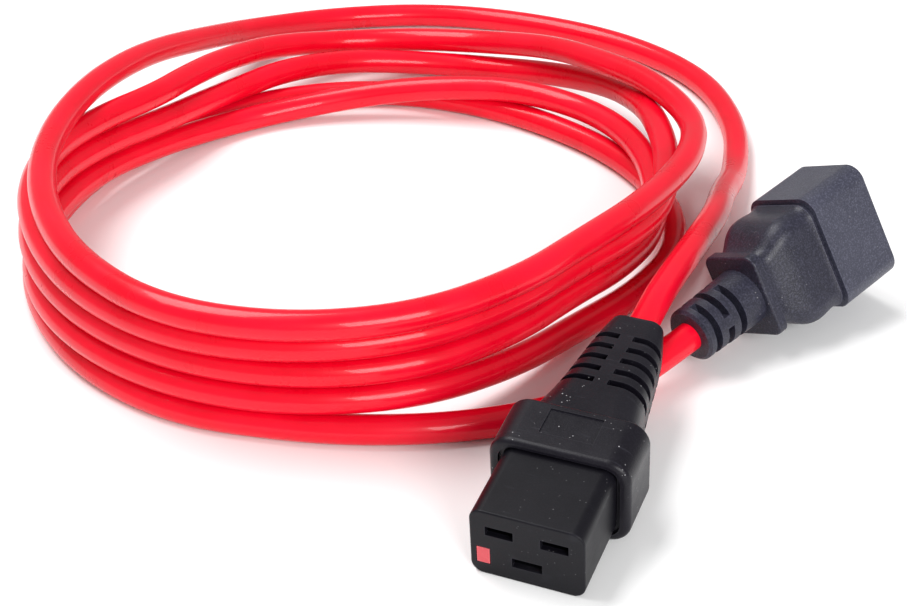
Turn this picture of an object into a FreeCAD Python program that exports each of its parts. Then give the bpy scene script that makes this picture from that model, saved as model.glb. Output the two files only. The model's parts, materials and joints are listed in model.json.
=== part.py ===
"""A locking C19 mains connector on a heavy red cable, with the C20 plug at the cable's far end.

The connector stands nose down: its insert and its collar touch the ground and its tail is up.
Each connector is built straight, along its own Y axis, and then placed. Millimetres, +Z up,
the connector's face towards -Y, the origin on the ground below the middle of the connector.
"""
import FreeCAD, Part
import math
import os
import Sketcher

Vector = FreeCAD.Vector

SIZES = {
    # the connector's insert, collar and neck, from the face backwards
    "total_length": 84.5, "insert_width": 28.4, "insert_height": 20.2, "insert_corner": 3.2,
    "insert_reach": 21.9, "face_edge": 0.5, "face_wall": 1.6, "collar_width": 35.8,
    "collar_height": 25.4, "collar_length": 16.6, "collar_corner": 6.0, "collar_front_round": 1.6,
    "collar_rear_round": 1.1, "lip_recess": 1.0, "lip_margin": 1.2, "label_width": 13.6,
    "label_length": 8.9, "label_depth": 0.4, "label_from_front": 5.4, "tail_round": 0.8,
    # where the pins go in
    "pin_spread": 13.6, "pin_rise": 4.15, "earth_drop": 4.1, "slot_width": 6.9, "slot_height": 2.8,
    "earth_slot_width": 7.5, "chamber_width": 9.0, "chamber_height": 6.4, "earth_chamber_width": 10.8,
    "earth_chamber_height": 6.2, "carrier_tail": 6.0, "cover_thickness": 2.0,
    # clearances: pieces at rest on each other, and pieces that move
    "fit_gap": 0.1, "moving_gap": 0.2,
    # the pressed contacts
    "strip": 0.5, "contact_width": 6.2, "contact_mouth_at": 6.6, "contact_length": 14.5,
    "contact_flare": 1.5, "contact_pinch": 0.8, "contact_arch": 1.6, "contact_slit": 0.9,
    "barrel_radius": 1.9, "barrel_end": 4.6,
    # the lock: a tilting plate on the earth pin, and the slider that stands it up
    "plate_at": 5.5, "plate_thickness": 0.8, "plate_width": 9.8, "plate_height": 5.6,
    "plate_lean": 22.0, "plate_window_width": 7.9, "plate_window_height": 2.35,
    "plate_lug_reach": 3.8, "plate_lug_height": 1.1, "slider_width": 3.2, "slider_height": 4.8,
    "slider_side": 10.9, "slider_drop": 4.0, "slider_length": 32.6, "slider_travel": 1.8,
    "finger_reach": 2.4, "finger_height": 1.4, "finger_thickness": 0.9, "button_length": 8.6,
    "button_height": 7.0, "button_drop": 2.8, "button_sunk": 0.2,
    "button_groove": 0.5, "spring_length": 5.6, "spring_width": 3.0, "spring_wire": 0.45,
    "spring_turns": 4.5,
    # the strain relief of the connector
    "relief_slots": 5, "relief_band": 10.3, "relief_pitch": 5.15, "relief_slot": 2.3,
    "relief_spine": 3.6, "relief_side_spine": 3.2, "relief_sleeve": 4.9,
    "wiring_width": 17.6, "wiring_height": 14.0, "wiring_corner": 3.0, "sheath_start": 48.6,
    # the cable
    "cable_diameter": 8.2, "sheath_bore": 6.8, "core_diameter": 3.0, "core_ring": 1.8,
    "socket_lead_straight": 14.0, "plug_lead_straight": 11.0,
    # the plug: shroud, grip, flange and strain relief, from the shroud's floor both ways
    "shroud_width": 34.4, "shroud_height": 25.8, "shroud_corner": 4.8, "shroud_length": 21.1,
    "shroud_floor": 2.5, "shroud_clearance": 0.4, "shroud_mouth_round": 0.7, "groove_width": 1.3,
    "groove_inset": 1.6, "flange_at": 21.5, "flange_thickness": 3.0, "flange_width": 24.6,
    "flange_height": 20.2, "flange_corner": 3.2, "flange_edge": 0.7, "plug_length": 46.0,
    "plug_relief_front": 8.5, "plug_relief_end": 7.8, "plug_slot_first": 32.9,
    "plug_slot_pitch": 4.8, "plug_slot": 2.3, "plug_spine": 3.2, "plug_sleeve": 5.0,
    "bridge_width": 24.2, "bridge_height": 16.4, "bridge_corner": 2.0, "bridge_thickness": 6.8,
    "pin_width": 6.3, "earth_pin_width": 6.9, "pin_thickness": 2.0, "pin_short_of_mouth": 2.2,
    "pin_tip": 0.7, "pin_barrel_end": 11.6, "plug_wiring_width": 18.0, "plug_wiring_height": 13.0,
    "plug_wiring_length": 9.6, "plug_sheath_start": 24.0,
    # how the plug lies: where its groove is, and how it is turned
    "plug_x": 29.6, "plug_y": 100.1, "plug_heading": 154.0, "plug_rise": -10.4, "plug_roll": 115.4,
    # the solid that the coiled turns fill
    "coil_middle_x": -112.0, "coil_middle_y": 119.5, "coil_half_width": 115.0, "coil_half_depth": 141.0,
    "coil_height": 36.0, "coil_round": 7.0, "coil_hole_x": -108.0, "coil_hole_y": 100.0,
    "coil_hole_half_width": 68.0, "coil_hole_half_depth": 72.0,
}

# the neck, as stations behind the collar: distance, width, height and corner radius
NECK = {
    "neck_root": (0.0, 29.6, 21.6, 6.5), "neck_waist": (16.5, 23.4, 18.4, 6.8),
    "relief_middle": (28.5, 20.6, 15.8, 5.8), "relief_rear": (39.5, 17.2, 13.6, 4.4),
    "relief_end": (46.0, 14.0, 12.3, 3.4),
}
# the plug's grip, as stations behind the groove
GRIP = {
    "grip_front": (0.0, 32.4, 24.4, 5.0), "grip_middle": (8.4, 32.0, 24.0, 5.0),
    "grip_shoulder": (12.8, 29.4, 22.6, 4.8), "grip_waist": (17.6, 23.2, 19.0, 4.2),
    "grip_rear": (20.2, 22.6, 18.8, 4.0),
}
STATION_PARTS = ("at", "width", "height", "corner")

doc = FreeCAD.newDocument("locking_connector")
sheet = doc.addObject("Spreadsheet::Sheet", "size")


def fill_sheet():
    """One row for each driving size: its name, and its value under that name as alias."""
    rows = dict(SIZES)
    for stations in (NECK, GRIP):
        for name, numbers in stations.items():
            rows.update({"%s_%s" % (name, part): number for part, number in zip(STATION_PARTS, numbers)})
    for row, (name, number) in enumerate(rows.items(), start=1):
        sheet.set("A%d" % row, name)
        sheet.set("B%d" % row, str(number))
        sheet.setAlias("B%d" % row, name)
    doc.recompute()


fill_sheet()


def s(text):
    """An expression in the sheet's names, with each word that names a size bound to its cell."""
    words = text.replace("(", " ( ").replace(")", " ) ").split()
    bound = " ".join("size." + word if word.replace("_", "").isalpha() and word not in FUNCTIONS
                     else word for word in words)
    for function in FUNCTIONS:
        bound = bound.replace(function + " (", function + "(")
    return bound


FUNCTIONS = ("sqrt", "sin", "cos", "tan")


def number(text):
    """The value that an expression has now."""
    return float(sheet_reader.evalExpression(s(text)))


sheet_reader = doc.addObject("App::FeaturePython", "sheet_reader")


# ---------------------------------------------------------------- sketches and features

def new_body(name):
    body = doc.addObject("PartDesign::Body", name)
    body.Label = name
    return body


def plane(body, role):
    return next(feature for feature in body.Origin.OriginFeatures if feature.Role == role)


def sketch_on(body, name, role, offset):
    """A sketch on one of the body's own planes, moved along that plane's normal."""
    sketch = body.newObject("Sketcher::SketchObject", name)
    sketch.AttachmentSupport = [(plane(body, role), "")]
    sketch.MapMode = "FlatFace"
    sketch.setExpression("AttachmentOffset.Base.z", s(offset))
    return sketch


def cross_sketch(body, name, at):
    """A sketch across the connector's axis, at a distance along Y."""
    return sketch_on(body, name, "XZ_Plane", "-1 * ( %s )" % at)


def bind(sketch, constraint, text):
    index = sketch.addConstraint(constraint)
    sketch.setExpression("Constraints[%d]" % index, s(text))


def outline(sketch, points, arcs=None):
    """A closed outline through points given as pairs of expressions, each tied to the sheet.

    arcs gives the round stretches: the index of the point that one starts at, its radius and
    the side on which its centre lies, 1 for the left and -1 for the right.
    """
    arcs = arcs or {}
    places = [Vector(number(x), number(y), 0) for x, y in points]
    first_geometry = sketch.GeometryCount
    count = len(points)
    for i, here in enumerate(places):
        there = places[(i + 1) % count]
        if i in arcs:
            sketch.addGeometry(arc_between(here, there, number(arcs[i][0]), arcs[i][1]), False)
        else:
            sketch.addGeometry(Part.LineSegment(here, there), False)
    for i in range(count):
        after = (i + 1) % count
        end = 1 if i in arcs and arcs[i][1] < 0 else 2
        start = 2 if after in arcs and arcs[after][1] < 0 else 1
        this, following = first_geometry + i, first_geometry + after
        sketch.addConstraint(Sketcher.Constraint("Coincident", this, end, following, start))
        for axis, text, value in zip(("DistanceX", "DistanceY"), points[after], places[after]):
            bind(sketch, Sketcher.Constraint(axis, -1, 1, following, start, value), text)
        if i in arcs:
            bind(sketch, Sketcher.Constraint("Radius", this, number(arcs[i][0])), arcs[i][0])
    return sketch


def arc_between(here, there, radius, side):
    """The shorter arc of a radius from one point to another, its centre on the given side."""
    chord = there - here
    rise = math.sqrt(max(radius ** 2 - (chord.Length / 2) ** 2, 0.0))
    across = Vector(-chord.y, chord.x, 0).normalize()
    centre = (here + there) * 0.5 + across * (rise * side)
    angles = [math.atan2(point.y - centre.y, point.x - centre.x) for point in (here, there)]
    if side < 0:
        angles.reverse()
    return Part.ArcOfCircle(Part.Circle(centre, Vector(0, 0, 1), radius), *angles)


def rounded(sketch, width, height, corner, middle_x="0", middle_z="0"):
    """A rectangle with round corners about a middle point."""
    points = []
    for x_sign, z_sign, flat_first in (("+", "-", True), ("+", "+", False),
                                       ("-", "+", True), ("-", "-", False)):
        edge_x = "%s %s ( %s ) / 2" % (middle_x, x_sign, width)
        edge_z = "%s %s ( %s ) / 2" % (middle_z, z_sign, height)
        flat = ("%s %s ( %s )" % (edge_x, "-" if x_sign == "+" else "+", corner), edge_z)
        upright = (edge_x, "%s %s ( %s )" % (edge_z, "-" if z_sign == "+" else "+", corner))
        points += [flat, upright] if flat_first else [upright, flat]
    return outline(sketch, points, {i: (corner, 1) for i in (0, 2, 4, 6)})


def disc(sketch, radius, middle_x="0", middle_z="0"):
    centre = Vector(number(middle_x), number(middle_z), 0)
    circle = sketch.addGeometry(Part.Circle(centre, Vector(0, 0, 1), number(radius)), False)
    bind(sketch, Sketcher.Constraint("Radius", circle, number(radius)), radius)
    bind(sketch, Sketcher.Constraint("DistanceX", -1, 1, circle, 3, centre.x), middle_x)
    bind(sketch, Sketcher.Constraint("DistanceY", -1, 1, circle, 3, centre.y), middle_z)
    return sketch


def rectangle(sketch, x_range, z_range):
    (x_low, x_high), (z_low, z_high) = x_range, z_range
    return outline(sketch, [(x_low, z_low), (x_high, z_low), (x_high, z_high), (x_low, z_high)])


def pad(body, name, profile, length, backwards=True, midplane=False):
    """Material along +Y from a cross sketch, or both ways from a sketch in the middle."""
    feature = body.newObject("PartDesign::Pad", name)
    feature.Profile = (profile, [""])
    feature.Reversed = backwards
    feature.Midplane = midplane
    feature.setExpression("Length", s(length))
    return feature


def pocket(body, name, profile, length):
    """A cut along +Y from a cross sketch."""
    feature = body.newObject("PartDesign::Pocket", name)
    feature.Profile = (profile, [""])
    feature.setExpression("Length", s(length))
    return feature


def loft(body, name, kind, sections):
    feature = body.newObject("PartDesign::" + kind, name)
    feature.Profile = (sections[0], [""])
    feature.Sections = [(section, [""]) for section in sections[1:]]
    feature.Ruled = False
    return feature


def box_cut(body, name, x_range, y_range, z_range):
    """A square-cornered cut between pairs of expressions."""
    cut = body.newObject("PartDesign::SubtractiveBox", name)
    for side, axis, (low, high) in zip(("Length", "Width", "Height"), "xyz", (x_range, y_range, z_range)):
        cut.setExpression(side, s("( %s ) - ( %s )" % (high, low)))
        cut.setExpression("Placement.Base." + axis, s(low))
    return cut


def round_edges(body, name, radius, wanted):
    """A fillet on the edges of the body whose bounds pass a test."""
    doc.recompute()
    base = body.Tip
    edges = ["Edge%d" % i for i, edge in enumerate(base.Shape.Edges, start=1) if wanted(edge.BoundBox)]
    fillet = body.newObject("PartDesign::Fillet", name)
    fillet.Base = (base, edges)
    fillet.setExpression("Radius", s(radius))
    return fillet


def lies_at(y):
    """A test for edges that lie in the plane across the axis at y."""
    return lambda box: abs(box.YMin - y) < 1e-3 and abs(box.YMax - y) < 1e-3


# ---------------------------------------------------------------- places along the connector

FACE = "( -1 * total_length / 2 )"
TAIL = "( total_length / 2 )"
MIDDLE = "( collar_height / 2 )"
COLLAR = "( %s + insert_reach )" % FACE
NECK_ROOT = "( %s + collar_length )" % COLLAR
CARRIER_REAR = "( %s + carrier_tail )" % COLLAR
COVER_REAR = "( %s + cover_thickness )" % CARRIER_REAR
SHEATH = "( %s + sheath_start )" % FACE
PLATE = "( %s + plate_at )" % FACE
BARREL_END = "( %s + barrel_end )" % CARRIER_REAR
EARTH_FLOOR = "( %s - earth_drop - earth_chamber_height / 2 )" % MIDDLE
PLATE_HINGE = "( %s + plate_thickness / 2 + moving_gap )" % EARTH_FLOOR
SLIDER_REAR = "( %s + slider_length )" % FACE
# side, height, slot width, chamber width and chamber height of each way through the carrier
WAYS = {
    "line": ("-1 * pin_spread / 2", MIDDLE + " + pin_rise", "slot_width", "chamber_width", "chamber_height"),
    "neutral": ("pin_spread / 2", MIDDLE + " + pin_rise", "slot_width", "chamber_width", "chamber_height"),
    "earth": ("0", MIDDLE + " - earth_drop", "earth_slot_width", "earth_chamber_width",
              "earth_chamber_height"),
}


def spread(middle, width):
    """The low and high ends of a width about a middle."""
    return "%s - ( %s ) / 2" % (middle, width), "%s + ( %s ) / 2" % (middle, width)


def slider_hole(extra="moving_gap"):
    """The rectangle that the slider's rod passes through, in X and Z."""
    side = spread("-1 * slider_side", "slider_width + 2 * " + extra)
    height = spread(MIDDLE + " - slider_drop", "slider_height + 2 * " + extra)
    return side, height


# ---------------------------------------------------------------- the connector's pieces

def make_contact_carrier():
    """The insert: a moulded block with a slot and a chamber for each contact."""
    body = new_body("contact_carrier")
    block = rounded(cross_sketch(body, "block_outline", FACE), "insert_width", "insert_height",
                    "insert_corner", middle_z=MIDDLE)
    pad(body, "block", block, "insert_reach + carrier_tail")
    round_edges(body, "face_rounding", "face_edge", lies_at(number(FACE)))
    for name, (side, height, slot, chamber_width, chamber_height) in WAYS.items():
        box_cut(body, name + "_slot", spread(side, slot), (FACE + " - 1", FACE + " + face_wall + 1"),
                spread(height, "slot_height"))
        box_cut(body, name + "_chamber", spread(side, chamber_width),
                (FACE + " + face_wall", CARRIER_REAR + " + 1"), spread(height, chamber_height))
    side, height = slider_hole()
    box_cut(body, "slider_way", side, (FACE + " - 1", CARRIER_REAR + " + 1"), height)
    box_cut(body, "finger_way", ("-1 * slider_side", "-1 * earth_chamber_width / 2 + 1"),
            (FACE + " + face_wall", PLATE + " + plate_thickness"),
            (PLATE_HINGE + " + plate_height - plate_thickness / 2 - 2 * finger_height",
             EARTH_FLOOR + " + earth_chamber_height"))
    return body


def make_rear_cover():
    """The plate that closes the chambers and holds the crimped barrels."""
    body = new_body("rear_cover")
    plate = rounded(cross_sketch(body, "cover_outline", CARRIER_REAR), "insert_width", "insert_height",
                    "insert_corner", middle_z=MIDDLE)
    pad(body, "plate", plate, "cover_thickness")
    for name, (side, height, *_) in WAYS.items():
        hole = disc(cross_sketch(body, name + "_hole_outline", CARRIER_REAR),
                    "barrel_radius + fit_gap", side, height)
        pocket(body, name + "_hole", hole, "cover_thickness")
    side, height = slider_hole()
    box_cut(body, "slider_way", side, (CARRIER_REAR + " - 1", COVER_REAR + " + 1"), height)
    return body


def make_contact(name):
    """A folded strip with two sprung leaves that pinch the pin, and a barrel crimped on its core."""
    side, height = WAYS[name][:2]
    body = new_body(name + "_contact")
    mouth = "( %s + contact_mouth_at )" % FACE
    pinch = "( %s + 2.4 )" % mouth
    arch = "( %s + 7.5 )" % mouth
    web = "( %s + contact_length )" % mouth
    leaf = [(mouth, "contact_flare"), (pinch, "contact_pinch"), (arch, "contact_arch"),
            (web + " - strip", "contact_arch")]
    skin = [(mouth, "contact_flare + strip"), (pinch, "contact_pinch + strip"),
            (arch, "contact_arch + strip"), (web, "contact_arch + strip")]
    above = [(y, "%s + ( %s )" % (height, half)) for y, half in leaf]
    below = [(y, "%s - ( %s )" % (height, half)) for y, half in reversed(leaf)]
    under = [(y, "%s - ( %s )" % (height, half)) for y, half in skin]
    over = [(y, "%s + ( %s )" % (height, half)) for y, half in reversed(skin)]
    profile = outline(sketch_on(body, "strip_outline", "YZ_Plane", side), above + below + under + over)
    pad(body, "folded_strip", profile, "contact_width", backwards=False, midplane=True)
    box_cut(body, "leaf_slit", spread(side, "contact_slit"), (mouth + " - 1", arch),
            (height + " - 3", height + " + 3"))
    barrel = disc(cross_sketch(body, "barrel_outline", web + " - strip"), "barrel_radius", side, height)
    pad(body, "barrel", barrel, "%s - ( %s - strip )" % (BARREL_END, web))
    return body


def make_lock_plate():
    """The steel plate that bites the earth pin while it leans forwards."""
    body = new_body("lock_plate")
    low, top = "0", "( plate_height - plate_thickness / 2 )"
    left, right = "( -1 * plate_width / 2 )", "( plate_width / 2 )"
    lug_end = "( %s - plate_lug_reach )" % left
    lug_low = "( %s - plate_lug_height )" % top
    plate = outline(cross_sketch(body, "plate_outline", "-1 * plate_thickness / 2"),
                    [(left, low), (right, low), (right, top), (lug_end, top), (lug_end, lug_low),
                     (left, lug_low)])
    pad(body, "plate", plate, "plate_thickness")
    foot = disc(sketch_on(body, "foot_outline", "YZ_Plane", "0"), "plate_thickness / 2")
    pad(body, "round_foot", foot, "plate_width", backwards=False, midplane=True)
    window_middle = "( %s - earth_drop - %s )" % (MIDDLE, PLATE_HINGE)
    box_cut(body, "pin_window", spread("0", "plate_window_width"), ("-2", "2"),
            spread(window_middle, "plate_window_height"))
    hinge = Vector(0, number(PLATE), number(PLATE_HINGE))
    lean = FreeCAD.Rotation(Vector(1, 0, 0), number("plate_lean"))
    return body, FreeCAD.Placement(hinge, lean)


def make_release_slider():
    """The red slider: a tab in the face, a finger before the plate's lug, and a thumb button."""
    body = new_body("release_slider")
    side, height = slider_hole("0")
    rod = rectangle(cross_sketch(body, "rod_outline", FACE), side, height)
    pad(body, "rod", rod, "slider_length")
    lean_reach = "( plate_height - plate_thickness / 2 ) * sin ( plate_lean * 1deg )"
    finger_rear = "( %s - %s - plate_thickness / 2 - moving_gap )" % (PLATE, lean_reach)
    finger_top = "( %s - slider_drop + slider_height / 2 )" % MIDDLE
    finger = rectangle(cross_sketch(body, "finger_outline", finger_rear + " - finger_thickness"),
                       (side[0], "( %s ) + finger_reach" % side[1]),
                       (finger_top + " - finger_height", finger_top))
    pad(body, "finger", finger, "finger_thickness")
    outer = "( -1 * collar_width / 2 + button_sunk )"
    inner = "( -1 * insert_width / 2 - fit_gap - moving_gap )"
    button_middle = "( %s - button_drop )" % MIDDLE
    button = rectangle(cross_sketch(body, "button_outline", SLIDER_REAR + " - button_length"),
                       (outer, inner), spread(button_middle, "button_height"))
    pad(body, "button", button, "button_length")
    arm_start = "( %s + 2 * fit_gap )" % COVER_REAR
    arm = rectangle(cross_sketch(body, "arm_outline", arm_start),
                    (outer, side[1]), height)
    pad(body, "arm", arm, "%s - %s" % (SLIDER_REAR, arm_start))
    for step in range(1, 5):
        groove = "( %s - button_length + %d * button_length / 5 )" % (SLIDER_REAR, step)
        box_cut(body, "grip_groove_%d" % step, (outer + " - 1", outer + " + button_groove"),
                spread(groove, "button_groove"),
                (button_middle + " - button_height", button_middle + " + button_height"))
    return body


def make_lock_spring():
    """The coil spring that pushes the slider forwards."""
    body = new_body("lock_spring")
    start = "( %s + fit_gap + spring_wire / 2 )" % SLIDER_REAR
    middle_radius = "( spring_width - spring_wire ) / 2"
    wire = rectangle(sketch_on(body, "wire_outline", "YZ_Plane", "0"), spread("0", "spring_wire"),
                     spread(middle_radius, "spring_wire"))
    coil = body.newObject("PartDesign::AdditiveHelix", "coil")
    coil.Profile = (wire, [""])
    coil.ReferenceAxis = (wire, ["H_Axis"])
    coil.Mode = 1
    coil.setExpression("Pitch", s("( spring_length - spring_wire ) / spring_turns"))
    coil.setExpression("Turns", s("spring_turns"))
    middle = Vector(number("-1 * slider_side"), number(start), number(MIDDLE + " - slider_drop"))
    return body, FreeCAD.Placement(middle, FreeCAD.Rotation())


def relief_slots(body, start, slot, spine, side_spine, sleeve, middle):
    """One row of the socket's relief: four cuts that leave two spines, two ribs and a sleeve."""
    sketch = cross_sketch(body, "slot_outline", start)
    reach = "( collar_width / 2 )"
    x_near, z_near = "( %s / 2 )" % spine, "( %s / 2 )" % side_spine
    x_sleeve = "sqrt ( %s * %s - %s * %s )" % (sleeve, sleeve, z_near, z_near)
    z_sleeve = "sqrt ( %s * %s - %s * %s )" % (sleeve, sleeve, x_near, x_near)
    for x_sign, z_sign in ((1, 1), (-1, 1), (-1, -1), (1, -1)):
        quarter = [(x_near, z_sleeve), (x_near, reach), (reach, reach), (reach, z_near), (x_sleeve, z_near)]
        points = [("%d * %s" % (x_sign, x), "%s + %d * %s" % (middle, z_sign, z)) for x, z in quarter]
        outline(sketch, points, {4: (sleeve, x_sign * z_sign)})
    return pocket(body, "slot_row", sketch, slot)


def make_grip_overmould():
    """The moulded grip: the collar, the neck and the slotted strain relief, in one piece."""
    body = new_body("grip_overmould")
    collar = rounded(cross_sketch(body, "collar_outline", COLLAR), "collar_width", "collar_height",
                     "collar_corner", middle_z=MIDDLE)
    pad(body, "collar", collar, "collar_length")
    front, rear = number(COLLAR), number(NECK_ROOT)
    round_edges(body, "collar_front_rounding", "collar_front_round", lies_at(front))
    round_edges(body, "collar_rear_rounding", "collar_rear_round", lies_at(rear))
    stretch = "( %s - %s ) / relief_end_at" % (TAIL, NECK_ROOT)
    stations = []
    for name in NECK:
        outline = cross_sketch(body, name + "_outline", "%s + %s_at * %s" % (NECK_ROOT, name, stretch))
        stations.append(rounded(outline, name + "_width", name + "_height", name + "_corner",
                                middle_z=MIDDLE))
    loft(body, "neck", "AdditiveLoft", stations)
    round_edges(body, "tail_rounding", "tail_round", lies_at(number(TAIL)))
    seat = rounded(cross_sketch(body, "seat_outline", COLLAR), "insert_width + 2 * fit_gap",
                   "insert_height + 2 * fit_gap", "insert_corner + fit_gap", middle_z=MIDDLE)
    pocket(body, "carrier_seat", seat, "carrier_tail + cover_thickness + fit_gap")
    lip = rounded(cross_sketch(body, "lip_outline", COLLAR), "insert_width + 2 * lip_margin",
                  "insert_height + 2 * lip_margin - 0.8", "insert_corner + lip_margin", middle_z=MIDDLE)
    pocket(body, "lip_recess", lip, "lip_recess")
    front = rounded(cross_sketch(body, "wiring_outline", COVER_REAR), "wiring_width", "wiring_height",
                    "wiring_corner", middle_z=MIDDLE)
    pocket(body, "wiring_room", front, "%s - %s" % (NECK_ROOT, COVER_REAR))
    wiring = [rounded(cross_sketch(body, "wiring_front", NECK_ROOT), "wiring_width", "wiring_height",
                      "wiring_corner", middle_z=MIDDLE),
              rounded(cross_sketch(body, "wiring_rear", SHEATH), "cable_diameter + 2 * fit_gap",
                      "cable_diameter + 2 * fit_gap", "( cable_diameter + fit_gap ) / 2", middle_z=MIDDLE)]
    loft(body, "wiring_space", "SubtractiveLoft", wiring)
    bore = disc(cross_sketch(body, "bore_outline", SHEATH + " - 1"), "cable_diameter / 2 + fit_gap / 2",
                "0", MIDDLE)
    pocket(body, "cable_bore", bore, "%s - %s + 2" % (TAIL, SHEATH))
    label_start = "( %s + label_from_front )" % COLLAR
    box_cut(body, "label_recess", spread("0", "label_width"), (label_start, label_start + " + label_length"),
            ("collar_height - label_depth", "collar_height + 1"))
    cut_slider_room(body)
    row_start = "( %s - relief_band - ( relief_slots - 1 ) * relief_pitch - relief_slot / 2 )" % TAIL
    row = relief_slots(body, row_start, "relief_slot", "relief_spine", "relief_side_spine",
                       "relief_sleeve", MIDDLE)
    rows = body.newObject("PartDesign::LinearPattern", "slot_rows")
    rows.Originals = [row]
    rows.Direction = (plane(body, "Y_Axis"), [""])
    rows.Mode = "Spacing"
    rows.Occurrences = int(number("relief_slots"))
    rows.setExpression("Offset", s("relief_pitch"))
    body.Tip = rows
    return body


def cut_slider_room(body):
    """The room in the collar for the slider's button, its arm and its spring."""
    side, height = slider_hole()
    travel = "( slider_travel + 2 * moving_gap )"
    button_front = "( %s - button_length - moving_gap )" % SLIDER_REAR
    button_middle = "( %s - button_drop )" % MIDDLE
    inner = "( -1 * insert_width / 2 - fit_gap )"
    button_height = spread(button_middle, "button_height + 2 * moving_gap")
    box_cut(body, "button_room", ("-1 * collar_width / 2 - 1", inner),
            (button_front, "%s + %s" % (SLIDER_REAR, travel)), button_height)
    box_cut(body, "arm_room", ("-1 * collar_width / 2 - 1", side[1]),
            (COVER_REAR + " - 0.5", "%s + %s" % (SLIDER_REAR, travel)), height)
    spring_end = "%s + spring_length + 2 * fit_gap" % SLIDER_REAR
    box_cut(body, "spring_room", side, (SLIDER_REAR, spring_end), height)


# how far round the middle of the cable each core lies, in degrees from +X
CORE_ANGLES = {"line": 150, "neutral": 30, "earth": -90}
# the share of its way to the bundle that a core runs straight at either end
CORE_STRAIGHT = 0.3


def bundle_place(way):
    """Where a core lies in the bundle, in X and Z about the cable's middle."""
    ring = number("core_ring")
    turn = math.radians(CORE_ANGLES[way])
    return ring * math.cos(turn), ring * math.sin(turn)


def make_core(name, side, height, start, bundle_start, end, middle_z):
    """An insulated core: straight out of its barrel, across to the bundle, and on to the cable."""
    way = name.split("_")[-2]
    bundle_side, bundle_height = bundle_place(way)
    step = (bundle_start - start) * CORE_STRAIGHT
    route = [(side, start, height), (side, start + step, height),
             (bundle_side, bundle_start - step, middle_z + bundle_height),
             (bundle_side, end, middle_z + bundle_height)]
    return tube_along(name, route, number("core_diameter"))


def make_sheath(name, start, end, middle):
    """The cable's sheath inside a connector, round its three cores."""
    body = new_body(name)
    outer = disc(cross_sketch(body, "sheath_outline", start), "cable_diameter / 2", "0", middle)
    pad(body, "sheath", outer, "%s - %s" % (end, start))
    bore = disc(cross_sketch(body, "bore_outline", start), "sheath_bore / 2", "0", middle)
    pocket(body, "core_bore", bore, "%s - %s" % (end, start))
    return body


# ---------------------------------------------------------------- the plug's pieces

PLUG_WAYS = {
    "line": ("-1 * pin_spread / 2", "pin_rise", "pin_width"),
    "neutral": ("pin_spread / 2", "pin_rise", "pin_width"),
    "earth": ("0", "-1 * earth_drop", "earth_pin_width"),
}


def make_plug_shroud():
    """The shroud that the mating insert goes into, with a floor that the pins pass through."""
    body = new_body("plug_shroud")
    mouth = "( -1 * shroud_length )"
    outer = rounded(cross_sketch(body, "shroud_outline", mouth), "shroud_width", "shroud_height",
                    "shroud_corner")
    pad(body, "shroud", outer, "shroud_length")
    round_edges(body, "mouth_rounding", "shroud_mouth_round", lies_at(number(mouth)))
    hollow = rounded(cross_sketch(body, "hollow_outline", mouth), "insert_width + 2 * shroud_clearance",
                     "insert_height + 2 * shroud_clearance", "insert_corner + shroud_clearance")
    pocket(body, "hollow", hollow, "shroud_length - shroud_floor")
    for name, (side, height, width) in PLUG_WAYS.items():
        box_cut(body, name + "_hole", spread(side, width + " + 2 * fit_gap"), ("-1 * shroud_floor - 1", "1"),
                spread(height, "pin_thickness + 2 * fit_gap"))
    return body


def make_plug_bridge():
    """The block that holds the pins behind the shroud's floor."""
    body = new_body("plug_bridge")
    block = rounded(cross_sketch(body, "bridge_outline", "0"),
                    "bridge_width", "bridge_height", "bridge_corner")
    pad(body, "bridge", block, "bridge_thickness")
    for name, (side, height, width) in PLUG_WAYS.items():
        box_cut(body, name + "_hole", spread(side, width + " + 2 * fit_gap"), ("-1", "bridge_thickness + 1"),
                spread(height, "pin_thickness + 2 * fit_gap"))
    return body


def make_plug_pin(name):
    """A flat pin with a bevelled tip, and the barrel crimped on its core."""
    side, height, width = PLUG_WAYS[name]
    body = new_body("plug_%s_pin" % name)
    tip = "( -1 * shroud_length + pin_short_of_mouth )"
    rear = "bridge_thickness"
    middle_low, middle_high = spread(side, width)
    half = "pin_thickness / 2"
    blade = [(middle_low, tip + " + pin_tip"), (middle_low + " + pin_tip", tip),
             (middle_high + " - pin_tip", tip), (middle_high, tip + " + pin_tip"),
             (middle_high, rear), (middle_low, rear)]
    profile = outline(sketch_on(body, "blade_outline", "XY_Plane", height), blade)
    pad(body, "blade", profile, "2 * ( %s )" % half, backwards=False, midplane=True)
    barrel = disc(cross_sketch(body, "barrel_outline", rear), "barrel_radius", side, height)
    pad(body, "barrel", barrel, "pin_barrel_end - " + rear)
    return body


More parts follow.
